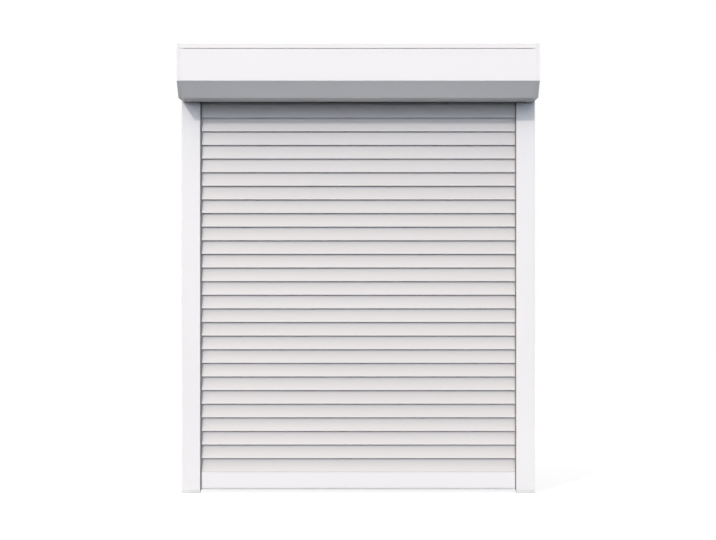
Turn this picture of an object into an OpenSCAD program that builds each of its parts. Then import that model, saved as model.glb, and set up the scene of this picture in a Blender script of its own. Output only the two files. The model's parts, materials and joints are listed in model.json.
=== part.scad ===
// Exterior roller shutter: a front-mounted box with a slanted lower face, two guide rails and a
// curtain of interlocking slats that winds onto an octagonal tube. X runs along the width, Y runs
// from the street to the wall and Z is up. The origin is at the bottom centre of the whole shutter.

/* [Overall] */
// Width over the end caps, which is also the width over the guide rails
overall_w = 1010; // [700:10:1400]

/* [Box] */
// Height of the box
box_h = 146; // [140:1:180]
// Depth of the box, from the wall to its front
box_d = 150; // [148:1:190]
// Height of the slanted face
slant_h = 42; // [25:1:50]
// Depth of the slanted face
slant_d = 42; // [30:1:60]
// Height of the fixed lip along the top of the front
box_lip_h = 13.5; // [12:0.5:25]
// Open groove between the lip and the inspection cover
box_groove = 2.5; // [1:0.5:4]
// Open slot between the back edge of the cover and the front of the rails
cover_gap = 11; // [1:0.5:16]
// Thickness of the rolled sheet
sheet_t = 1.2; // [0.8:0.1:2]
// Width of an end cap as it shows from the front
cap_w = 7; // [7:0.5:14]
// Open seam between an end cap and the sheets
cap_seam = 1; // [0.4:0.1:2]
// Corner cut off an end cap's bottom, from nothing at the slanted face to this at the rail
cap_chamfer = 6.5; // [1:0.5:6.5]
// Wall of an end cap
cap_wall = 3.5; // [2.5:0.5:5]
// Length of the end cap's flange inside the sheets
cap_flange_l = 12; // [10:1:20]
// Thickness of that flange
cap_flange_t = 2.5; // [2:0.5:4]

/* [Guide rails] */
// Width of a rail
rail_w = 53; // [48:1:66]
// Depth of a rail
rail_d = 22; // [22:1:28]
// Wall of the rail extrusion
rail_wall = 1.6; // [1.2:0.1:2]
// Thickness of the plate that covers a rail's front
rail_plate = 1.2; // [1.2:0.1:2]
// Radius of the rail's outer corners
rail_r = 1; // [0.5:0.1:1.2]
// Depth of the guide slot behind the inner face
rail_slot = 26; // [24:1:30]
// How far the dark weather strip shows beside a rail
seal_shown = 3.5; // [1:0.25:5]
// Height of the foot under a rail
foot_h = 9; // [6:0.5:10]
// Radius of the wall fixing holes
fix_r = 3.25; // [2.5:0.25:4]
// Height of the lowest and the highest fixing hole from the rail's ends
fix_inset = 150; // [80:5:250]

/* [Curtain] */
// Number of slats
slat_count = 28; // [12:1:32]
// Height from one slat to the next
slat_pitch = 39; // [37:0.5:45]
// Overall thickness of a slat
slat_t = 11.5; // [11:0.1:12.5]
// How far a slat's lip stands forward of its top
slat_lean = 6.5; // [4:0.1:7]
// How soon the face flares out towards the lip: 1 is straight, more is hollower
slat_flare = 2.2; // [1:0.1:3]
// Wall of a slat
slat_wall = 1.1; // [0.8:0.1:1.2]
// Play between one slat and the next in the closed curtain
slat_gap = 0.3; // [0.2:0.05:0.5]
// Height of a slat's hook above its shoulder
hook_h = 7.9; // [7:0.1:8.2]
// Height of the bottom bar
bar_h = 48.5; // [40:0.5:70]
// Height of the closed bottom bar above the sill
bar_lift = 11; // [10.5:0.5:20]
// How far the top slat reaches into the box
top_in_box = 34.5; // [30:0.5:38]

/* [Winding tube] */
// Width of the octagonal tube across its flats
tube_af = 60; // [50:1:64]
// Wall of the tube
tube_wall = 1; // [0.6:0.1:1.5]
// Radius of the tubular motor
motor_r = 22.5; // [18:0.5:22.5]
// Length of the tubular motor
motor_l = 400; // [300:10:440]
// Radius of the idler pin
pin_r = 6; // [5:0.5:8]
// Width of a hanger strap
strap_w = 40; // [25:1:60]
// Thickness of a hanger strap
strap_t = 0.8; // [0.6:0.1:1]

/* [Clearances] */
// Play between a slat and each side of the slot's mouth
mouth_gap = 1.25; // [1:0.05:1.5]
// Play between parts that slide or push together
fit_gap = 0.2; // [0.15:0.05:0.3]
// Play of a turning fit, on the radius
run_gap = 0.05; // [0.03:0.01:0.1]

/* [Hidden] */
$fn = 48;
drill_l = 40;
half_w = overall_w / 2;
wall_y = box_d / 2;
front_y = -box_d / 2;
rail_front = wall_y - rail_d;
base_front = rail_front + rail_plate;
rail_in = half_w - rail_w;
slot_end = rail_in + rail_slot;
chamber_in = slot_end + rail_wall;
chamber_out = half_w - rail_wall;
slat_y = wall_y - rail_d / 2;

bar_top = bar_lift + bar_h;
rail_h = bar_top + slat_count * slat_pitch - top_in_box;
box_bottom = rail_h;
box_top = box_bottom + box_h;
cap_face = half_w - cap_w;
axis_y = 0;
axis_z = box_bottom + box_h / 2;

slat_half = slat_t / 2;
rail_mouth = slat_t + 2 * mouth_gap;
shoulder = slat_pitch - slat_gap;
slat_end_gap = 6;
slat_l = 2 * (slot_end - slat_end_gap);
face_steps = 8;
hook_u = slat_lean - slat_half + 0.4;
hook_reach = 2.6;
lip_bevel = 0.4;
pocket_top = hook_h + 0.6;
flange_u = hook_u + slat_wall + 0.7;
back_knee = 0.8 * slat_pitch;
back_top_u = slat_half - 1.4;

function slat_name(i) = str("slat_", i < 10 ? "0" : "", i);
function slat_z(i) = bar_top + (i - 1) * slat_pitch;

// Extrudes a Y-Z section along X, centred
module along_x(l) {
    rotate([90, 0, 90]) translate([0, 0, -l / 2]) linear_extrude(l) children();
}

// Extrudes a Y-Z section along X from one place to another
module span_x(from, to) {
    translate([(from + to) / 2, 0, 0]) along_x(abs(to - from)) children();
}

// A round bar along X on the tube's axis
module axis_rod(r, from, to) {
    span_x(from, to) translate([axis_y, axis_z]) circle(r);
}

// An octagon across its flats, with a flat on each axis, on the tube's axis
module axis_octagon(af) {
    translate([axis_y, axis_z]) rotate(22.5) circle(af / 2 / cos(22.5), $fn = 8);
}

module rounded_rect(w, h, r) {
    translate([r, 0]) square([w - 2 * r, h]);
    translate([0, r]) square([w, h - 2 * r]);
    for (x = [r, w - r], y = [r, h - r]) translate([x, y]) circle(r);
}

// Box

// The box's outline, drawn in by the same distance on every side
module box_outline(inset) {
    steep = sqrt(1 / pow(slant_d, 2) + 1 / pow(slant_h, 2));
    rise = slant_h * (1 + inset * (steep - 1 / slant_d));
    run = slant_d * (1 + inset * (steep - 1 / slant_h));
    polygon([
        [front_y + inset, box_bottom + rise],
        [front_y + run, box_bottom + inset],
        [wall_y - inset, box_bottom + inset],
        [wall_y - inset, box_top - inset],
        [front_y + inset, box_top - inset]
    ]);
}

sheet_l = 2 * (cap_face - cap_seam);
fold_l = 2 * (cap_face - cap_flange_l - fit_gap);
cover_top = box_top - box_lip_h - box_groove;
cover_back = rail_front - cover_gap;
hem_gap = 1;
hem_h = 7;
hem_y = front_y + sheet_t + hem_gap;
tongue_h = 9;
cover_rim = 12;
grommet_in = 60;
grommet_down = 30;
grommet_x = cap_face - grommet_in;
grommet_z = box_top - grommet_down;
grommet_r = 8;

// Back, top and front lip in one sheet, with the lip's edge hemmed between the end caps
module rear_shell() {
    lip_z = box_top - box_lip_h;
    color("whitesmoke") difference() {
        union() {
            along_x(sheet_l) {
                translate([wall_y - sheet_t, box_bottom]) square([sheet_t, box_h]);
                translate([front_y, box_top - sheet_t]) square([box_d, sheet_t]);
                translate([front_y, lip_z]) square([sheet_t, box_lip_h]);
            }
            along_x(fold_l) {
                translate([front_y, lip_z]) square([hem_y + sheet_t - front_y, sheet_t]);
                translate([hem_y, lip_z]) square([sheet_t, hem_h]);
            }
        }
        translate([grommet_x, wall_y, grommet_z]) rotate([90, 0, 0])
            cylinder(r = grommet_r, h = drill_l, center = true);
    }
}

// Front, slanted face and underside in one sheet, with a tongue behind the hem and a rim at the slot,
// both cut back at the ends to clear the end caps
module inspection_cover() {
    tongue_y = hem_y + sheet_t + fit_gap;
    color("white") difference() {
        union() {
            along_x(sheet_l) difference() {
                box_outline(0);
                box_outline(sheet_t);
                translate([front_y - 1, cover_top]) square([box_d + 2, box_h]);
                translate([cover_back, box_bottom - 1]) square([box_d, box_h]);
            }
            along_x(fold_l) {
                translate([cover_back - sheet_t, box_bottom]) square([sheet_t, cover_rim]);
                translate([front_y, cover_top - sheet_t]) square([tongue_y + sheet_t - front_y, sheet_t]);
                translate([tongue_y, cover_top - sheet_t]) square([sheet_t, tongue_h + box_groove]);
            }
        }
        cover_screw_places() cylinder(r = screw_r + fit_gap, h = drill_l, center = true);
    }
}

screw_r = 2;
screw_head_r = 3.8;
screw_head_h = 1.8;
screw_l = 9;
screw_inset = 6;
screw_edge = 18;

module cover_screw_places() {
    for (side = [-1, 1], y = [front_y + slant_d + screw_edge, cover_back - screw_edge])
        translate([side * (cap_face - screw_inset), y, box_bottom]) children();
}

module cover_screws() {
    color("lightgray") cover_screw_places() {
        cylinder(r = screw_r, h = screw_l);
        translate([0, 0, -screw_head_h]) difference() {
            cylinder(r = screw_head_r, h = screw_head_h);
            cube([5, 0.9, 1.6], center = true);
        }
    }
}

tenon_l = 20;
cover_leg = 6;
plug_front = base_front + cover_leg + fit_gap;
plug_w = chamber_out - chamber_in - 2 * fit_gap;
plug_d = wall_y - rail_wall - fit_gap - plug_front;

// Cast side plate: a rim flush with the sheets, a flange inside them, a boss for the bracket and a
// tenon that plugs into the rail
module end_cap() {
    rim = 5;
    flange_inset = sheet_t + fit_gap / 2;
    corner_run = rail_front - front_y - slant_d;
    color("white") difference() {
        union() {
            span_x(cap_face, half_w) box_outline(0);
            span_x(cap_face - cap_flange_l, cap_face) difference() {
                box_outline(flange_inset);
                box_outline(flange_inset + cap_flange_t);
            }
            translate([chamber_in + fit_gap, plug_front, box_bottom - tenon_l])
                cube([plug_w, plug_d, tenon_l + 1]);
        }
        span_x(cap_face - 1, half_w - cap_wall) difference() {
            box_outline(rim);
            translate([axis_y, axis_z]) circle(boss_r);
        }
        span_x(cap_face - cap_flange_l - 1, cap_face) box_outline(flange_inset + cap_flange_t);
        bracket_screw_places() rotate([0, 90, 0])
            cylinder(r = bracket_screw_r + fit_gap / 2, h = 2 * bracket_screw_in, center = true);
        cover_screw_places() cylinder(r = screw_r + fit_gap / 2, h = drill_l, center = true);
        translate([half_w, front_y + slant_d, box_bottom]) rotate([90, 0, atan(cap_chamfer / corner_run)])
            translate([0, 0, -corner_run])
                linear_extrude(corner_run)
                    polygon([[-1, -1], [cap_w + 1, -1], [cap_w + 1, cap_w + 1]]);
    }
}

module end_cap_right() { end_cap(); }
module end_cap_left() { mirror([1, 0, 0]) end_cap(); }

// Closed rubber membrane for the motor's supply lead, in the back of the box
module cable_grommet() {
    color("dimgray") translate([grommet_x, wall_y, grommet_z]) rotate([90, 0, 0]) {
        cylinder(r = grommet_r - fit_gap / 2, h = sheet_t + 1);
        translate([0, 0, sheet_t]) cylinder(r = grommet_r + 2.5, h = 2);
        translate([0, 0, sheet_t + 2]) cylinder(r1 = 6, r2 = 3, h = 5);
    }
}

// Guide rails

fix_x = (chamber_in + chamber_out) / 2;
fix_heights = [fix_inset, (fix_inset + rail_h - fix_inset) / 2, rail_h - fix_inset];

module rail_outline() {
    translate([rail_in, rail_front]) rounded_rect(rail_w, rail_d, rail_r);
}

// The extrusion behind the cover plate: a guide slot, and a screw chamber that is open to the front
module rail_section() {
    inner_d = wall_y - base_front - 2 * rail_wall;
    difference() {
        rail_outline();
        translate([rail_in - 1, rail_front - 1]) square([rail_w + 2, rail_plate + 1]);
        translate([rail_in + rail_wall, base_front + rail_wall]) square([rail_slot - rail_wall, inner_d]);
        translate([rail_in - 1, slat_y - rail_mouth / 2]) square([rail_wall + 2, rail_mouth]);
        translate([chamber_in, base_front - 1]) square([chamber_out - chamber_in, rail_wall + inner_d + 1]);
    }
}

module rail() {
    color("white") difference() {
        translate([0, 0, foot_h]) linear_extrude(rail_h - foot_h) rail_section();
        for (z = fix_heights) translate([fix_x, wall_y, z]) rotate([90, 0, 0])
            cylinder(r = fix_r, h = 4 * rail_wall, center = true);
    }
}

module rail_right() { rail(); }
module rail_left() { mirror([1, 0, 0]) rail(); }

// Plate over the rail's whole front, held by two legs that press into the screw chamber
module rail_cover() {
    legs = chamber_in + fit_gap;
    color("white") translate([0, 0, foot_h]) linear_extrude(rail_h - foot_h) {
        intersection() {
            rail_outline();
            translate([rail_in - 1, rail_front - 1]) square([rail_w + 2, rail_plate + 1]);
        }
        for (x = [legs, legs + plug_w - rail_wall])
            translate([x, base_front - rail_plate / 2]) square([rail_wall, rail_plate / 2 + cover_leg]);
    }
}

module rail_cover_right() { rail_cover(); }
module rail_cover_left() { mirror([1, 0, 0]) rail_cover(); }

// Plastic foot with a tongue up into the screw chamber
module rail_foot() {
    color("gainsboro") {
        translate([rail_in, rail_front, 0]) linear_extrude(foot_h) rounded_rect(rail_w, rail_d, rail_r);
        translate([chamber_in + fit_gap, plug_front, foot_h - 1]) cube([plug_w, plug_d, 13]);
    }
}

module rail_foot_right() { rail_foot(); }
module rail_foot_left() { mirror([1, 0, 0]) rail_foot(); }

seal_w = 6;
seal_gap = 0.3;

// Weather strips on both sides of each guide slot; the front one has a fin that shows beside the rail
module rail_seals() {
    front = base_front + rail_wall;
    front_end = slat_y - slat_half - seal_gap;
    fin = slat_y - rail_mouth / 2;
    back = slat_y + slat_half + seal_gap;
    from = rail_in + rail_wall;
    color("dimgray") for (side = [0, 1]) mirror([side, 0, 0])
        translate([0, 0, foot_h]) linear_extrude(rail_h - foot_h) {
            polygon([
                [from, front], [from + seal_w, front], [from + seal_w, front_end],
                [rail_in - seal_shown, front_end], [rail_in - seal_shown, fin], [from, fin]
            ]);
            translate([from, back]) square([seal_w, wall_y - rail_wall - back]);
        }
}

inlet_h = 30;
inlet_flare = 2;

// Plastic funnel on top of the rail that leads the slats into the slot
module inlet_guide() {
    prong = (rail_d - rail_mouth) / 2 - sheet_t - fit_gap;
    color("darkgray") {
        span_x(rail_in, slot_end) for (side = [-1, 1])
            translate([slat_y, rail_h]) polygon([
                [side * rail_mouth / 2, 0],
                [side * (rail_mouth / 2 + prong), 0],
                [side * (rail_mouth / 2 + prong), inlet_h],
                [side * (rail_mouth / 2 + inlet_flare), inlet_h]
            ]);
        translate([slot_end - rail_wall, slat_y - rail_mouth / 2 - prong, rail_h])
            cube([2 * rail_wall, rail_mouth + 2 * prong, inlet_h]);
    }
}

module inlet_guide_right() { inlet_guide(); }
module inlet_guide_left() { mirror([1, 0, 0]) inlet_guide(); }

// Winding tube and its bearings

bracket_t = 5;
head_r = motor_r + 2.5;
bracket_screw_r = 2.4;
bracket_head_r = 4;
bracket_hole_r = bracket_screw_r + fit_gap;
bracket_screw_pcd = 2 * (head_r + bracket_head_r + 1);
bracket_r = bracket_screw_pcd / 2 + bracket_head_r + 1;
boss_r = bracket_r + 1;
bracket_screw_in = 4;
spigot = 16;
bush_r = pin_r + 8;
hub_l = 13;
bush_l = 8;
tube_left = -(cap_face - 23);
tube_right = cap_face - 35;
motor_end = cap_face - 25;
collar_t = 3;
collar_r = tube_af / 2 + 2.5;
plug_l = 50;
crown_l = 20;
wheel_l = 30;
shaft_r = 7;
shaft_in = 10;
plug_af = tube_af - 2 * tube_wall - fit_gap;

// Screw places on the boss of the right-hand end cap, at its inner face
module bracket_screw_places() {
    for (a = [45:90:315]) translate([cap_face, axis_y, axis_z]) rotate([a, 0, 0])
        translate([0, bracket_screw_pcd / 2, 0]) children();
}

module bearing_bracket() {
    color("silver") mirror([1, 0, 0]) difference() {
        union() {
            axis_rod(bracket_r, cap_face - bracket_t, cap_face);
            axis_rod(bush_r + 3, cap_face - hub_l, cap_face - bracket_t + 1);
        }
        axis_rod(bush_r + run_gap / 2, cap_face - hub_l - 1, cap_face - hub_l + bush_l);
        axis_rod(pin_r + 1, cap_face - hub_l, cap_face - bracket_t / 2);
        bracket_screw_places() rotate([0, 90, 0]) cylinder(r = bracket_hole_r, h = drill_l, center = true);
    }
}

module idler_bush() {
    color("goldenrod") mirror([1, 0, 0]) difference() {
        axis_rod(bush_r, cap_face - hub_l, cap_face - hub_l + bush_l);
        axis_rod(pin_r + run_gap, cap_face - hub_l - 1, cap_face - hub_l + bush_l + 1);
    }
}

module motor_bracket() {
    hole = spigot + fit_gap;
    color("silver") difference() {
        axis_rod(bracket_r, cap_face - bracket_t, cap_face);
        translate([cap_face, axis_y, axis_z]) cube([3 * bracket_t, hole, hole], center = true);
        bracket_screw_places() rotate([0, 90, 0]) cylinder(r = bracket_hole_r, h = drill_l, center = true);
    }
}

module motor_head() {
    color("dimgray") {
        axis_rod(head_r, motor_end, cap_face - bracket_t);
        translate([cap_face - bracket_t - 1, axis_y - spigot / 2, axis_z - spigot / 2])
            cube([bracket_t, spigot, spigot]);
    }
}

module motor_body() {
    color("gray") difference() {
        axis_rod(motor_r, motor_end - motor_l, motor_end);
        axis_rod(shaft_r + run_gap, motor_end - motor_l - 1, motor_end - motor_l + shaft_in + 1);
    }
}

module bracket_screws() {
    color("lightgray") for (side = [0, 1]) mirror([side, 0, 0])
        bracket_screw_places() rotate([0, 90, 0]) {
            translate([0, 0, -bracket_t])
                cylinder(r = bracket_screw_r, h = bracket_t + bracket_screw_in - 0.5);
            translate([0, 0, -bracket_t - 2]) cylinder(r = bracket_head_r, h = 2);
        }
}

module winding_tube() {
    color("silver") span_x(tube_left, tube_right) difference() {
        axis_octagon(tube_af);
        axis_octagon(tube_af - 2 * tube_wall);
    }
}

module tube_end_plug() {
    color("slategray") difference() {
        union() {
            span_x(tube_left, tube_left + plug_l) axis_octagon(plug_af);
            axis_rod(collar_r, tube_left - collar_t, tube_left);
        }
        axis_rod(pin_r + run_gap / 2, tube_left - collar_t - 1, tube_left + plug_l + 1);
    }
}

module idler_pin() {
    color("lightgray") axis_rod(pin_r, -(cap_face - bracket_t), tube_left + plug_l);
}

module drive_wheel() {
    wheel_right = motor_end - motor_l - shaft_in;
    color("slategray") difference() {
        span_x(wheel_right - wheel_l, wheel_right) axis_octagon(plug_af);
        axis_rod(shaft_r + run_gap / 2, wheel_right - wheel_l - 1, wheel_right + 1);
        for (a = [0:90:270]) translate([0, axis_y, axis_z]) rotate([a, 0, 0])
            translate([0, 17, 0]) span_x(wheel_right - wheel_l - 1, wheel_right + 1) circle(5);
    }
}

module output_shaft() {
    shaft_right = motor_end - motor_l + shaft_in;
    color("lightgray") axis_rod(shaft_r, shaft_right - 2 * shaft_in - wheel_l, shaft_right);
}

module crown_ring() {
    color("slategray") difference() {
        union() {
            span_x(tube_right - crown_l, tube_right) axis_octagon(plug_af);
            axis_rod(collar_r, tube_right, tube_right + collar_t);
        }
        axis_rod(motor_r + run_gap, tube_right - crown_l - 1, tube_right + collar_t + 1);
    }
}

// Curtain

// Depth of a slat's front at height v above its lip
function slat_front(v) = slat_lean * (1 - pow(1 - v / shoulder, slat_flare)) - slat_half;

function front_points(low, high, inset) =
    [for (i = [0:face_steps]) let (v = low + (high - low) * i / face_steps) [slat_front(v) + inset, v]];

// Hook that rises from a shoulder, bends back and holds the flange of the slat above
function hook_points(low) = let (high = low + hook_h, back = hook_u + slat_wall) [
    [hook_u, low], [hook_u, high], [hook_u + hook_reach, high],
    [hook_u + hook_reach, high - slat_wall], [back, high - slat_wall], [back, low]
];

// Leaning face, hook on top, and a pocket with a flange at the foot that takes the hook below
module slat_section() {
    inner = slat_half - slat_wall;
    difference() {
        polygon(concat(
            [[lip_bevel - slat_half, 0]],
            front_points(lip_bevel, shoulder, 0),
            hook_points(shoulder),
            [[back_top_u, shoulder], [slat_half, back_knee], [slat_half, 0]]));
        polygon(concat(
            front_points(pocket_top + slat_wall, shoulder - slat_wall, slat_wall),
            [[back_top_u - slat_wall, shoulder - slat_wall], [inner, back_knee - slat_wall],
             [inner, pocket_top + slat_wall]]));
        polygon([
            [slat_front(0) + slat_wall, -1], [slat_front(pocket_top) + slat_wall, pocket_top],
            [inner, pocket_top], [inner, slat_wall], [flange_u, slat_wall], [flange_u, -1]
        ]);
    }
}

module slat(i) {
    color("white") translate([0, slat_y, slat_z(i)]) along_x(slat_l) slat_section();
}

lock_t = 2.5;
lock_plug = 12;

// Nylon plugs in the ends of every second slat, which keep the curtain from drifting sideways
module slat_end_locks() {
    low = pocket_top + slat_wall + 2;
    high = back_knee - slat_wall;
    front = slat_front(high) + slat_wall + fit_gap;
    back = slat_half - slat_wall - fit_gap;
    color("dimgray") for (i = [1:2:slat_count], side = [0, 1]) mirror([side, 0, 0])
        translate([0, slat_y, slat_z(i)]) {
            span_x(slat_l / 2, slat_l / 2 + lock_t)
                translate([front - 1, low - 3]) square([back - front + 2, high - low + 5]);
            span_x(slat_l / 2 - lock_plug, slat_l / 2 + 1)
                translate([front, low]) square([back - front, high - low]);
        }
}

bar_round = 8;
bar_tuck = 1.5;
groove_w = 4;
groove_neck = 2.4;
groove_h = 6;

// Bottom bar: a flat face that tucks under at its foot, a hook on top and a groove for the seal
module bar_outline(inset, top_points = []) {
    top = bar_h - slat_gap - inset;
    polygon(concat(
        [for (i = [0:face_steps]) let (a = 90 * i / face_steps)
            [-slat_half + inset + bar_tuck * (1 - sin(a)), inset + bar_round * (1 - cos(a))]],
        [[-slat_half + inset, top]],
        top_points,
        [[slat_half - inset, top], [slat_half - inset, inset]]));
}

module bar_section() {
    chamber_low = groove_h + 2 * slat_wall;
    difference() {
        bar_outline(0, hook_points(bar_h - slat_gap));
        intersection() {
            bar_outline(slat_wall);
            translate([-slat_t, chamber_low]) square([2 * slat_t, bar_h]);
        }
        translate([-groove_neck / 2, -1]) square([groove_neck, groove_h]);
        translate([-groove_w / 2, groove_h / 2]) square([groove_w, groove_h / 2]);
    }
}

module bottom_bar() {
    color("white") translate([0, slat_y, bar_lift]) along_x(slat_l) bar_section();
}

module bar_end_plugs() {
    low = groove_h + 3 * slat_wall;
    side_u = slat_half - slat_wall - fit_gap;
    color("dimgray") for (side = [0, 1]) mirror([side, 0, 0]) translate([0, slat_y, bar_lift]) {
        span_x(slat_l / 2, slat_l / 2 + lock_t) bar_outline(0);
        span_x(slat_l / 2 - lock_plug, slat_l / 2 + 1)
            translate([-side_u, low]) square([2 * side_u, bar_h - low - 3]);
    }
}

seal_foot = 1;

module bottom_seal() {
    neck = groove_neck - 2 * fit_gap;
    bead = groove_w - 2 * fit_gap;
    color("gray") translate([0, slat_y, bar_lift]) along_x(slat_l) {
        translate([-neck / 2, -seal_foot]) square([neck, groove_h]);
        translate([-bead / 2, groove_h / 2 + fit_gap]) square([bead, groove_h / 2 - 2 * fit_gap]);
        translate([-groove_w / 2, -seal_foot]) square([groove_w, seal_foot]);
    }
}

// Height of a line at a distance from the axis along the tube's upper back flat
function band_z(y, distance) = axis_z + sqrt(2) * distance - (y - axis_y);

// Spring-steel bands from the tube's upper back flat down to the hook of the top slat
module hanger_straps() {
    flat = tube_af / 2;
    outer = flat + strap_t;
    half_flat = flat * tan(22.5);
    start_y = axis_y + (flat - half_flat) / sqrt(2);
    start_out = axis_y + (outer - half_flat) / sqrt(2);
    tab_y = slat_y + hook_u + hook_reach + slat_gap;
    tab_back = tab_y + strap_t;
    toe_y = slat_y + hook_u + slat_wall + slat_gap;
    toe_z = slat_z(slat_count) + shoulder + hook_h - slat_wall - 2 * strap_t;
    color("lightgray") for (i = [-1:1]) translate([i * rail_in * 2 / 3, 0, 0]) along_x(strap_w)
        polygon([
            [start_y, band_z(start_y, flat)], [start_out, band_z(start_out, outer)],
            [tab_back, band_z(tab_back, outer)], [tab_back, toe_z],
            [toe_y, toe_z], [toe_y, toe_z + strap_t],
            [tab_y, toe_z + strap_t], [tab_y, band_z(tab_y, flat)]
        ]);
}

rear_shell();
inspection_cover();
end_cap_left();
end_cap_right();
cover_screws();
cable_grommet();
rail_left();
rail_right();
rail_cover_left();
rail_cover_right();
rail_foot_left();
rail_foot_right();
rail_seals();
inlet_guide_left();
inlet_guide_right();
bearing_bracket();
idler_bush();
motor_bracket();
motor_head();
motor_body();
bracket_screws();
winding_tube();
tube_end_plug();
idler_pin();
drive_wheel();
output_shaft();
crown_ring();
hanger_straps();
slat_end_locks();
bottom_bar();
bar_end_plugs();
bottom_seal();
for (i = [1:slat_count]) slat(i);
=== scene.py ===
import json
import math

import bpy
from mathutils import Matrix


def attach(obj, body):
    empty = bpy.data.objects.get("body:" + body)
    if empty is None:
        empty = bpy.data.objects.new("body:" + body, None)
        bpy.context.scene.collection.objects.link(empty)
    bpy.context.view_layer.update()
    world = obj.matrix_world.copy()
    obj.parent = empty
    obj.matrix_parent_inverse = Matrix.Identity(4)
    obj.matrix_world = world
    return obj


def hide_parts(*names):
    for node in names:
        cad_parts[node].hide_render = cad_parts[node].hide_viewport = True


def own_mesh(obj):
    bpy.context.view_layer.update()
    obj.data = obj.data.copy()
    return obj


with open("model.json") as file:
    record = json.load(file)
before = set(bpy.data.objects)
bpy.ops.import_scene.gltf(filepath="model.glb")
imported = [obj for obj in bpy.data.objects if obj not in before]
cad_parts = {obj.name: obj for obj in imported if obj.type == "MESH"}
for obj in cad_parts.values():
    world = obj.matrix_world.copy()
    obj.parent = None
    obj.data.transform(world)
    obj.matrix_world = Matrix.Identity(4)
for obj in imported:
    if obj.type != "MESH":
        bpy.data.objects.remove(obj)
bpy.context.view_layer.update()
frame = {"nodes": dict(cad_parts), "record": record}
nodes = frame["nodes"]
mm = 0.001
print("frame loaded:", len(nodes), "nodes")

# camera: level, below the middle of the curtain, with the lens shifted up to the box
camera = {"place": (0, -4.551, 0.45), "tilt": 90, "sensor": 36, "lens": 80.95,
          "shiftUp": 0.0916, "shiftSide": -0.0004, "farEnd": 60}

bpy.ops.object.select_all(action="DESELECT")
bpy.ops.object.camera_add(location=camera["place"], rotation=(math.radians(camera["tilt"]), 0, 0))
view = bpy.context.object
view.name = "view"
view.data.sensor_width = camera["sensor"]
view.data.lens = camera["lens"]
view.data.shift_x = camera["shiftSide"]
view.data.shift_y = camera["shiftUp"]
view.data.clip_end = camera["farEnd"]
bpy.context.scene.camera = view
print("camera placed")

# what the modelling steps share: starter plane and merging in metres, angles in degrees
making = {"starter": 0.01, "mergeReach": 1e-6, "smoothAngle": 35, "flatAngle": 1, "edgeAngle": 40,
          "edgeSteps": 2, "cornerSteps": 5, "cornerShare": 0.45}


def clearSelection():
    bpy.ops.object.select_all(action="DESELECT")


def pick(piece):
    clearSelection()
    piece.select_set(True)
    bpy.context.view_layer.objects.active = piece


def applyModifier(piece, kind, **settings):
    pick(piece)
    modifier = piece.modifiers.new(kind.lower(), kind)
    for key, value in settings.items():
        setattr(modifier, key, value)
    bpy.ops.object.modifier_apply(modifier=modifier.name)


# smooth across round edges, with the wide flat faces kept flat
def smoothByAngle(piece, degrees=making["smoothAngle"]):
    pick(piece)
    bpy.ops.object.shade_smooth_by_angle(angle=math.radians(degrees))
    applyModifier(piece, "WEIGHTED_NORMAL", keep_sharp=True)


def easeEdges(piece, width):
    applyModifier(piece, "BEVEL", width=width * mm, segments=making["edgeSteps"],
                  limit_method="ANGLE", angle_limit=math.radians(making["edgeAngle"]))


def direction(start, end):
    x, y = end[0] - start[0], end[1] - start[1]
    length = math.hypot(x, y)
    return x / length, y / length, length


# an arc of the given radius in place of each inner point of a path
def roundPath(points, radius):
    steps, share = making["cornerSteps"], making["cornerShare"]
    rounded = [points[0]]
    for before, corner, after in zip(points, points[1:], points[2:]):
        inX, inY, inLength = direction(corner, before)
        outX, outY, outLength = direction(corner, after)
        half = math.acos(max(-1, min(1, inX * outX + inY * outY))) / 2
        setBack = min(radius / math.tan(half), share * inLength, share * outLength)
        arc = setBack * math.tan(half)
        midX, midY, midLength = direction((0, 0), (inX + outX, inY + outY))
        reach = arc / math.sin(half)
        x, y = corner[0] + midX * reach, corner[1] + midY * reach
        first = math.atan2(corner[1] + inY * setBack - y, corner[0] + inX * setBack - x)
        last = math.atan2(corner[1] + outY * setBack - y, corner[0] + outX * setBack - x)
        turn = (last - first + math.pi) % (2 * math.pi) - math.pi
        for k in range(steps + 1):
            angle = first + turn * k / steps
            rounded.append((x + arc * math.cos(angle), y + arc * math.sin(angle)))
    rounded.append(points[-1])
    return rounded


# draws one path by extruding a single vertex from point to point, at one end of the piece
def drawPath(points, x):
    bpy.ops.mesh.primitive_plane_add(size=making["starter"], location=(0, 0, 0))
    bpy.ops.mesh.merge(type="CENTER")
    bpy.ops.transform.translate(value=(x * mm, points[0][0] * mm, points[0][1] * mm))
    for here, there in zip(points, points[1:]):
        step = (0, (there[0] - here[0]) * mm, (there[1] - here[1]) * mm)
        bpy.ops.mesh.extrude_region_move(TRANSFORM_OT_translate={"value": step})


# an empty mesh in edit mode, ready for a path
def startPiece(name):
    clearSelection()
    bpy.ops.mesh.primitive_plane_add(size=making["starter"], location=(0, 0, 0))
    piece = bpy.context.object
    piece.name = name
    piece.data.name = name
    bpy.ops.object.mode_set(mode="EDIT")
    bpy.ops.mesh.select_all(action="SELECT")
    bpy.ops.mesh.delete(type="VERT")
    return piece


def pullAlong(length):
    bpy.ops.mesh.select_all(action="SELECT")
    bpy.ops.mesh.extrude_region_move(TRANSFORM_OT_translate={"value": (length * mm, 0, 0)})
    bpy.ops.mesh.select_all(action="SELECT")
    bpy.ops.mesh.normals_make_consistent(inside=False)
    bpy.ops.object.mode_set(mode="OBJECT")


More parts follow.
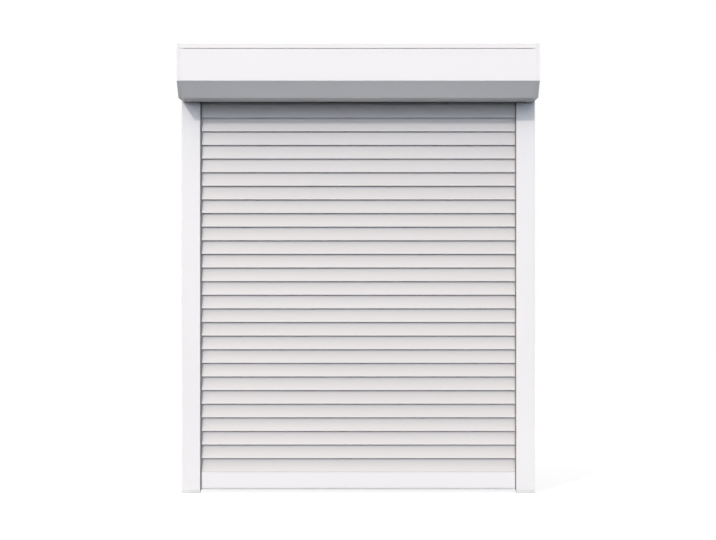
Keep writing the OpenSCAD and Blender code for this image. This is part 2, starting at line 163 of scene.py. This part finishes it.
# a solid bar: closed outlines, the later ones hollow, filled and pulled along X
def pullOutlines(name, outlines, xLow, xHigh):
    piece = startPiece(name)
    for outline in outlines:
        bpy.ops.mesh.select_all(action="DESELECT")
        drawPath(outline + [outline[0]], xLow)
    bpy.ops.mesh.select_all(action="SELECT")
    bpy.ops.mesh.remove_doubles(threshold=making["mergeReach"])
    bpy.ops.mesh.select_all(action="SELECT")
    bpy.ops.mesh.fill(use_beauty=True)
    pullAlong(xHigh - xLow)
    return piece


# a folded sheet: an open path on the sheet's middle, pulled along X and given its thickness
def foldSheet(name, path, thickness, xLow, xHigh):
    piece = startPiece(name)
    drawPath(path, xLow)
    pullAlong(xHigh - xLow)
    applyModifier(piece, "SOLIDIFY", thickness=thickness * mm, offset=0, use_even_offset=True)
    return piece


# the CAD solid with its edges eased: merged, its flat faces joined, then bevelled
def easedCopy(name, node, width):
    piece = bpy.data.objects.new(name, nodes[node].data.copy())
    bpy.context.scene.collection.objects.link(piece)
    piece.data.name = name
    pick(piece)
    bpy.ops.object.mode_set(mode="EDIT")
    bpy.ops.mesh.select_all(action="SELECT")
    bpy.ops.mesh.remove_doubles(threshold=making["mergeReach"])
    bpy.ops.mesh.dissolve_limited(angle_limit=math.radians(making["flatAngle"]))
    bpy.ops.object.mode_set(mode="OBJECT")
    easeEdges(piece, width)
    return piece


def joinPieces(pieces):
    pick(pieces[0])
    for piece in pieces[1:]:
        piece.select_set(True)
    bpy.ops.object.join()
    return pieces[0]


def dress(piece, material, body, slot, *stoodFor):
    piece.data.materials.clear()
    piece.data.materials.append(material)
    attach(piece, body)
    if stoodFor:
        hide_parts(*stoodFor)


# finishes: a slow drift of tone, and a fine grain that varies the gloss and stands as bump

# what most finishes share
plainLook = {"metallic": 0.0, "specular": 0.5, "noiseLow": 0.3, "noiseHigh": 0.7,
             "driftStretch": (1, 1, 1), "driftDetail": 2.0,
             "grainStretch": (1, 1, 1), "grainDetail": 3.0}


def addNoise(made, links, coords, look, kind):
    mapping = made.new("ShaderNodeMapping")
    mapping.inputs["Scale"].default_value = look[kind + "Stretch"]
    noise = made.new("ShaderNodeTexNoise")
    noise.inputs["Scale"].default_value = look[kind + "Scale"]
    noise.inputs["Detail"].default_value = look[kind + "Detail"]
    links.new(coords.outputs["Object"], mapping.inputs["Vector"])
    links.new(mapping.outputs["Vector"], noise.inputs["Vector"])
    return noise.outputs["Fac"]


def addTone(made, links, drift, look, shader):
    ramp = made.new("ShaderNodeValToRGB")
    dark, light = ramp.color_ramp.elements
    dark.position, light.position = look["noiseLow"], look["noiseHigh"]
    dark.color, light.color = (*look["darker"], 1), (*look["lighter"], 1)
    links.new(drift, ramp.inputs["Fac"])
    links.new(ramp.outputs["Color"], shader.inputs["Base Color"])


def addRoughness(made, links, grain, look, shader):
    spread = made.new("ShaderNodeMapRange")
    spread.inputs["From Min"].default_value = look["noiseLow"]
    spread.inputs["From Max"].default_value = look["noiseHigh"]
    spread.inputs["To Min"].default_value = look["rough"][0]
    spread.inputs["To Max"].default_value = look["rough"][1]
    links.new(grain, spread.inputs["Value"])
    links.new(spread.outputs["Result"], shader.inputs["Roughness"])


def addBump(made, links, grain, look, shader):
    bump = made.new("ShaderNodeBump")
    bump.inputs["Strength"].default_value = look["bump"]
    bump.inputs["Distance"].default_value = look["bumpDepth"]
    links.new(grain, bump.inputs["Height"])
    links.new(bump.outputs["Normal"], shader.inputs["Normal"])


def surface(name, ownLook):
    look = {**plainLook, **ownLook}
    material = bpy.data.materials.new(name)
    material.use_nodes = True
    made, links = material.node_tree.nodes, material.node_tree.links
    shader = made["Principled BSDF"]
    shader.inputs["Roughness"].default_value = look["rough"][0]
    shader.inputs["Metallic"].default_value = look["metallic"]
    shader.inputs["Specular IOR Level"].default_value = look["specular"]
    coords = made.new("ShaderNodeTexCoord")
    addTone(made, links, addNoise(made, links, coords, look, "drift"), look, shader)
    grain = addNoise(made, links, coords, look, "grain")
    addRoughness(made, links, grain, look, shader)
    addBump(made, links, grain, look, shader)
    return material


powderLook = {"darker": (0.84, 0.84, 0.84), "lighter": (0.87, 0.87, 0.87), "driftScale": 2.5,
              "grainScale": 420, "rough": (0.42, 0.52), "bump": 0.12, "bumpDepth": 0.0002}
# slats: the box's white coat, painted darker all over as painted shade for the curtain set back
# between the rails and under the lips
slatShadedLook = {"darker": (0.64, 0.63, 0.622), "lighter": (0.67, 0.66, 0.652), "driftScale": 6,
            "driftStretch": (0.15, 1, 1), "grainScale": 260, "grainStretch": (0.05, 1, 1),
            "rough": (0.4, 0.5), "bump": 0.08, "bumpDepth": 0.0002}
footLook = {"darker": (0.74, 0.74, 0.73), "lighter": (0.8, 0.8, 0.79), "driftScale": 30,
            "grainScale": 900, "rough": (0.5, 0.65), "bump": 0.2, "bumpDepth": 0.0002}
# seal fins: real rubber seals, whose dark grey also stands as painted shade in the gap beside the
# curtain
sealAndShadeLook = {"darker": (0.19, 0.19, 0.19), "lighter": (0.24, 0.24, 0.24), "driftScale": 20,
              "grainScale": 700, "rough": (0.7, 0.85), "bump": 0.35, "bumpDepth": 0.0003,
              "specular": 0.3}
plasticLook = {"darker": (0.06, 0.063, 0.066), "lighter": (0.085, 0.088, 0.092), "driftScale": 25,
               "grainScale": 800, "rough": (0.45, 0.6), "bump": 0.2, "bumpDepth": 0.0002}
zincLook = {"darker": (0.52, 0.52, 0.5), "lighter": (0.66, 0.66, 0.63), "driftScale": 60,
            "metallic": 1.0, "grainScale": 500, "rough": (0.28, 0.42), "bump": 0.1,
            "bumpDepth": 0.0001}
galvanisedLook = {"darker": (0.42, 0.44, 0.45), "lighter": (0.62, 0.64, 0.66), "driftScale": 90,
                  "metallic": 1.0, "grainScale": 300, "rough": (0.35, 0.55), "bump": 0.1,
                  "bumpDepth": 0.0001}
brassLook = {"darker": (0.46, 0.33, 0.13), "lighter": (0.6, 0.45, 0.2), "driftScale": 50,
             "metallic": 1.0, "grainScale": 400, "rough": (0.3, 0.45), "bump": 0.1,
             "bumpDepth": 0.0001}
motorLook = {"darker": (0.2, 0.21, 0.22), "lighter": (0.26, 0.27, 0.28), "driftScale": 15,
             "grainScale": 600, "rough": (0.4, 0.5), "bump": 0.1, "bumpDepth": 0.0002}

powderWhite = surface("powderWhite", powderLook)
slatWhite = surface("slatWhite", slatShadedLook)
footPlastic = surface("footPlastic", footLook)
darkPlastic = surface("darkPlastic", plasticLook)

# the CAD nodes that no new piece stands for get their slot's finish
slotFinish = {"white_coat": powderWhite, "slat_coat": slatWhite,
              "pale_plastic": footPlastic, "grey_plastic": darkPlastic,
              "seal_rubber": surface("sealRubberAndShade", sealAndShadeLook),
              "zinc_steel": surface("zincSteel", zincLook),
              "galvanised_steel": surface("galvanised", galvanisedLook),
              "bush_brass": surface("bushBrass", brassLook),
              "motor_coat": surface("motorCoat", motorLook)}
for part in frame["record"]["subparts"]:
    node = nodes[part["node"]]
    node.data.materials.clear()
    node.data.materials.append(slotFinish[part["material_slot"]])
print("finishes made")

# sizes that several pieces share, in mm
shutter = {"wall": 75, "front": -75, "railTop": 1117, "boxTop": 1263, "railFront": 53,
           "slatDepth": 64, "capFace": 498, "fitGap": 0.2}

# box sheets: the hem behind the lip, the cover's tongue behind the hem and the rim at the slot
# stop short of the end caps
sheet = {"thick": 1.2, "fold": 0.8, "slantHeight": 42, "slantDepth": 42, "lip": 13.5,
         "groove": 2.5, "coverGap": 11, "hemGap": 1, "hem": 7, "tongue": 9, "rim": 12,
         "seam": 1, "foldInset": 12.2, "smallFold": 0.8}


def makeBoxSheets():
    thick, half = sheet["thick"], sheet["thick"] / 2
    end = shutter["capFace"] - sheet["seam"]
    foldEnd = shutter["capFace"] - sheet["foldInset"]
    front, wall = shutter["front"] + half, shutter["wall"] - half
    low, high = shutter["railTop"], shutter["boxTop"] - half
    lip = shutter["boxTop"] - sheet["lip"]
    hemBack = front + thick + sheet["hemGap"]
    rear = [(wall, low), (wall, high), (front, high), (front, lip)]
    hem = [(front, lip + half), (hemBack, lip + half), (hemBack, lip + sheet["hem"])]
    piece = joinPieces([
        foldSheet("rearSheet", roundPath(rear, sheet["fold"]), thick, -end, end),
        foldSheet("hem", roundPath(hem, sheet["smallFold"]), thick, -foldEnd, foldEnd)])
    smoothByAngle(piece)
    dress(piece, powderWhite, "housing", "white_coat", "rear_shell")

    # the sheet's middle lies half a thickness inside the slanted face
    rise, run = sheet["slantHeight"], sheet["slantDepth"]
    steep = math.hypot(1 / rise, 1 / run)
    midRise = rise * (1 + half * (steep - 1 / run))
    midRun = run * (1 + half * (steep - 1 / rise))
    top = lip - sheet["groove"]
    tongueFace = hemBack + thick + shutter["fitGap"]
    tongueTop = top - thick + sheet["tongue"] + sheet["groove"]
    coverBack = shutter["railFront"] - sheet["coverGap"]
    cover = [(front, top), (front, low + midRise),
             (shutter["front"] + midRun, low + half), (coverBack, low + half)]
    tongue = [(front, top - half), (tongueFace, top - half), (tongueFace, tongueTop)]
    rim = [(coverBack - half, low + half), (coverBack - half, low + sheet["rim"])]
    piece = joinPieces([
        foldSheet("frontCover", roundPath(cover, sheet["fold"]), thick, -end, end),
        foldSheet("tongue", roundPath(tongue, sheet["smallFold"]), thick, -foldEnd, foldEnd),
        foldSheet("rim", rim, thick, -foldEnd, foldEnd)])
    smoothByAngle(piece)
    dress(piece, powderWhite, "housing", "white_coat", "inspection_cover")


makeBoxSheets()
print("box sheets folded")

# cast and extruded pieces keep their CAD shape, with eased edges: node and width of the edge
coated = {"endCapLeft": ("end_cap_left", 0.8), "endCapRight": ("end_cap_right", 0.8),
          "railLeft": ("rail_left", 0.35), "railRight": ("rail_right", 0.35),
          "railCoverLeft": ("rail_cover_left", 0.3), "railCoverRight": ("rail_cover_right", 0.3)}
feet = {"railFootLeft": ("rail_foot_left", 0.5), "railFootRight": ("rail_foot_right", 0.5)}
for pieces, finish, slot in ((coated, powderWhite, "white_coat"),
                             (feet, footPlastic, "pale_plastic")):
    for name, (node, width) in pieces.items():
        piece = easedCopy(name, node, width)
        smoothByAngle(piece)
        dress(piece, finish, "housing", slot, node)
print("caps and rails eased")

# slats: one is modelled and copied up the curtain
slat = {"count": 28, "pitch": 39, "first": 59.5, "thick": 11.5, "lean": 6.5, "flare": 2.2,
        "wall": 1.1, "play": 0.3, "hookHeight": 7.9, "hookPlace": 1.15, "hookReach": 2.6,
        "lipRound": 0.7, "lipTurn": 110, "lipStep": 5, "foldAngle": 8, "halfLength": 472,
        "faceSteps": 18, "backKnee": 31.2, "backTop": 4.35, "pocket": 8.5, "flange": 2.95}


def slatFront(v):
    t = v / (slat["pitch"] - slat["play"])
    return slat["lean"] * (1 - (1 - t) ** slat["flare"]) - slat["thick"] / 2


def slatFace(low, high, inset):
    heights = [low + (high - low) * i / slat["faceSteps"] for i in range(slat["faceSteps"] + 1)]
    return [(slatFront(v) + inset, v) for v in heights]


def hookOutline(low):
    place, wall, high = slat["hookPlace"], slat["wall"], low + slat["hookHeight"]
    reach = place + slat["hookReach"]
    return [(place, low), (place, high), (reach, high), (reach, high - wall),
            (place + wall, high - wall), (place + wall, low)]


def lipArc():
    r = slat["lipRound"]
    centre = slatFront(r) + r
    turns = [math.radians(turn) for turn in range(0, slat["lipTurn"] + 1, slat["lipStep"])]
    return [(centre - r * math.sin(a), r - r * math.cos(a)) for a in turns]


def raised(outline, z):
    return [(u + shutter["slatDepth"], v + z) for u, v in outline]


def makeSlat():
    half, wall = slat["thick"] / 2, slat["wall"]
    shoulder = slat["pitch"] - slat["play"]
    inner = half - wall
    face = lipArc() + slatFace(slat["lipRound"], shoulder, 0)[1:]
    outline = face + hookOutline(shoulder) + [
        (slat["backTop"], shoulder), (half, slat["backKnee"]), (half, 0), (slat["flange"], 0),
        (slat["flange"], wall), (inner, wall), (inner, slat["pocket"]),
        (slatFront(slat["pocket"]) + wall, slat["pocket"]), (slatFront(0) + wall, 0)]
    chamber = slatFace(slat["pocket"] + wall, shoulder - wall, wall) + [
        (slat["backTop"] - wall, shoulder - wall), (inner, slat["backKnee"] - wall),
        (inner, slat["pocket"] + wall)]
    z = slat["first"]
    return pullOutlines("slat01", [raised(outline, z), raised(chamber, z)],
                        -slat["halfLength"], slat["halfLength"])


def copyUp(piece, name, rise):
    pick(piece)
    bpy.ops.object.duplicate()
    copied = bpy.context.object
    copied.name = name
    copied.data.name = name
    bpy.ops.transform.translate(value=(0, 0, rise * mm))
    bpy.ops.object.transform_apply(location=True, rotation=False, scale=False)
    return copied


def shrinkIntoBox(piece):
    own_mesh(piece)


slatPieces = [makeSlat()]
smoothByAngle(slatPieces[0], slat["foldAngle"])  # keeps the slight fold at the back crisp
for i in range(1, slat["count"]):
    slatPieces.append(copyUp(slatPieces[0], "slat%02d" % (i + 1), i * slat["pitch"]))
for i, piece in enumerate(slatPieces):
    dress(piece, slatWhite, "curtain", "slat_coat", "slat_%02d" % (i + 1))
    shrinkIntoBox(piece)
print("slats copied up the curtain")

# end locks in every second slat: a plate outside the slat's end, with a plug into its chamber
lock = {"every": 2, "thick": 2.5, "plug": 12, "front": 1.8, "back": 4.45, "low": 11.6,
        "high": 30.1, "taller": 5, "lower": 0.5, "flange": 1, "edge": 0.4, "facing": 0.9}


def makeLock(side, foot):
    x = side * (slat["halfLength"] + lock["thick"] / 2)
    y = shutter["slatDepth"] + (lock["front"] + lock["back"]) / 2
    z = foot + (lock["low"] + lock["high"]) / 2 - lock["lower"]
    clearSelection()
    bpy.ops.mesh.primitive_cube_add(size=1, location=(x * mm, y * mm, z * mm))
    piece = bpy.context.object
    piece.scale = (lock["thick"] * mm,
                   (lock["back"] - lock["front"] + 2 * lock["flange"]) * mm,
                   (lock["high"] - lock["low"] + lock["taller"]) * mm)
    bpy.ops.object.transform_apply(location=True, rotation=False, scale=True)
    bpy.ops.object.mode_set(mode="EDIT")
    bpy.ops.mesh.select_all(action="DESELECT")
    bpy.ops.object.mode_set(mode="OBJECT")
    for face in piece.data.polygons:
        face.select = face.normal.x * side < -lock["facing"]
    bpy.ops.object.mode_set(mode="EDIT")
    bpy.ops.mesh.select_mode(type="FACE")
    bpy.ops.mesh.inset(thickness=lock["flange"] * mm)
    inwards = (-side * lock["plug"] * mm, 0, 0)
    bpy.ops.mesh.extrude_region_move(TRANSFORM_OT_translate={"value": inwards})
    bpy.ops.mesh.select_mode(type="VERT")
    bpy.ops.object.mode_set(mode="OBJECT")
    return piece


locks = joinPieces([makeLock(side, slat["first"] + i * slat["pitch"])
                    for i in range(0, slat["count"], lock["every"]) for side in (-1, 1)])
locks.name = "slatEndLocks"
easeEdges(locks, lock["edge"])
dress(locks, darkPlastic, "curtain", "grey_plastic", "slat_end_locks")
shrinkIntoBox(locks)
print("end locks set")

# bottom bar: its foot turns under, and a groove below holds the seal
bar = {"low": 11, "height": 48.5, "foot": 8, "tuck": 1.5, "footSteps": 10, "edge": 0.8,
       "edgeCut": 0.25, "grooveNeck": 2.4, "grooveWidth": 4, "grooveHeight": 6}


def makeBar():
    half, wall = slat["thick"] / 2, slat["wall"]
    top = bar["height"] - slat["play"]
    turns = [math.radians(90 * i / bar["footSteps"]) for i in range(bar["footSteps"] + 1)]
    face = [(-half + bar["tuck"] * (1 - math.sin(a)), bar["foot"] * (1 - math.cos(a)))
            for a in turns]
    edge, cut = bar["edge"], bar["edgeCut"]
    topEdge = [(-half, top - edge), (-half + cut, top - cut), (-half + edge, top)]
    neck, wide, deep = bar["grooveNeck"] / 2, bar["grooveWidth"] / 2, bar["grooveHeight"]
    outline = face + topEdge + hookOutline(top) + [
        (half, top), (half, 0), (neck, 0), (neck, deep / 2), (wide, deep / 2), (wide, deep),
        (-wide, deep), (-wide, deep / 2), (-neck, deep / 2), (-neck, 0)]
    low = deep + 2 * wall
    chamber = [(-half + wall, low), (-half + wall, top - wall),
               (half - wall, top - wall), (half - wall, low)]
    piece = pullOutlines("bottomBar", [raised(outline, bar["low"]), raised(chamber, bar["low"])],
                         -slat["halfLength"], slat["halfLength"])
    smoothByAngle(piece)
    return piece


dress(makeBar(), powderWhite, "curtain", "white_coat", "bottom_bar")
print("bottom bar pulled")

# floor: near white to the camera, and dark to the light that it throws back
floorLook = {"size": 200, "drop": 0.0005, "glow": 0.75, "shown": (0.3, 0.3, 0.3),
             "bounce": (0.024, 0.027, 0.0325)}
sunLook = {"strength": 1.085, "size": 3.0, "travel": (0.355, 0.797, -0.488),
           "tint": (1.0, 0.93, 0.89), "place": (-1.5, -4, 3)}
# sky: blue low all round, a broad warm source in front to the left, and a lower one behind
sky = [{"from": (0, 0, 1), "low": 0.67, "high": 0.05, "tint": (0.62, 1.0, 1.6),
        "start": 0.1, "full": 0.8},
       {"from": (-0.29, -0.735, 0.613), "low": 0, "high": 1.69, "tint": (1.14, 1.0, 0.84),
        "start": 0.44, "full": 0.97},
       {"from": (0.56, 0.82, 0.1), "low": 0, "high": 1.4, "tint": (1.13, 1.0, 0.82),
        "start": 0.35, "full": 0.95}]


def cameraSees(made, links):
    rays = made.new("ShaderNodeLightPath")
    seen = rays.outputs["Is Camera Ray"]
    for kind in ("Is Glossy Ray", "Is Transmission Ray"):
        either = made.new("ShaderNodeMath")
        either.operation = "MAXIMUM"
        links.new(seen, either.inputs[0])
        links.new(rays.outputs[kind], either.inputs[1])
        seen = either.outputs[0]
    return seen


def addBoth(made, links, first, second):
    both = made.new("ShaderNodeAddShader")
    links.new(first, both.inputs[0])
    links.new(second, both.inputs[1])
    return both.outputs[0]


# one shader for what lights the part, and another for what the camera sees
def splitView(made, links, lights, shown, output):
    mix = made.new("ShaderNodeMixShader")
    links.new(cameraSees(made, links), mix.inputs["Fac"])
    links.new(lights, mix.inputs[1])
    links.new(shown, mix.inputs[2])
    links.new(mix.outputs[0], made[output].inputs["Surface"])


def softSource(made, links, coords, source):
    facing = made.new("ShaderNodeVectorMath")
    facing.operation = "DOT_PRODUCT"
    links.new(coords.outputs["Generated"], facing.inputs[0])
    facing.inputs[1].default_value = source["from"]
    spread = made.new("ShaderNodeMapRange")
    spread.interpolation_type = "SMOOTHSTEP"
    spread.inputs["From Min"].default_value = source["start"]
    spread.inputs["From Max"].default_value = source["full"]
    spread.inputs["To Min"].default_value = source["low"]
    spread.inputs["To Max"].default_value = source["high"]
    links.new(facing.outputs["Value"], spread.inputs["Value"])
    glow = made.new("ShaderNodeBackground")
    glow.inputs["Color"].default_value = (*source["tint"], 1)
    links.new(spread.outputs["Result"], glow.inputs["Strength"])
    return glow.outputs[0]


def makeFloor():
    clearSelection()
    bpy.ops.mesh.primitive_plane_add(size=floorLook["size"], location=(0, 0, -floorLook["drop"]))
    floor = bpy.context.object
    floor.name = "floor"
    material = bpy.data.materials.new("paleFloor")
    material.use_nodes = True
    made, links = material.node_tree.nodes, material.node_tree.links
    made.remove(made["Principled BSDF"])
    shown = made.new("ShaderNodeBsdfDiffuse")
    shown.inputs["Color"].default_value = (*floorLook["shown"], 1)
    glow = made.new("ShaderNodeEmission")
    glow.inputs["Strength"].default_value = floorLook["glow"]
    seen = addBoth(made, links, shown.outputs[0], glow.outputs[0])
    bounce = made.new("ShaderNodeBsdfDiffuse")
    bounce.inputs["Color"].default_value = (*floorLook["bounce"], 1)
    splitView(made, links, bounce.outputs[0], seen, "Material Output")
    floor.data.materials.append(material)


def makeSun():
    x, y, z = sunLook["travel"]
    bpy.ops.object.light_add(type="SUN", location=sunLook["place"])
    sun = bpy.context.object
    sun.name = "sun"
    sun.data.energy = sunLook["strength"]
    sun.data.angle = math.radians(sunLook["size"])
    sun.data.color = sunLook["tint"]
    sun.rotation_euler = (math.acos(-z), 0, math.atan2(-x, y))


def makeSky():
    world = bpy.data.worlds.new("sky")
    bpy.context.scene.world = world
    world.use_nodes = True
    made, links = world.node_tree.nodes, world.node_tree.links
    coords = made.new("ShaderNodeTexCoord")
    lit = softSource(made, links, coords, sky[0])
    for source in sky[1:]:
        lit = addBoth(made, links, lit, softSource(made, links, coords, source))
    plain = made["Background"]
    plain.inputs["Color"].default_value = (1, 1, 1, 1)
    splitView(made, links, lit, plain.outputs[0], "World Output")


makeFloor()
makeSun()
makeSky()
bpy.context.scene.view_settings.view_transform = "Standard"
print("stage lit")
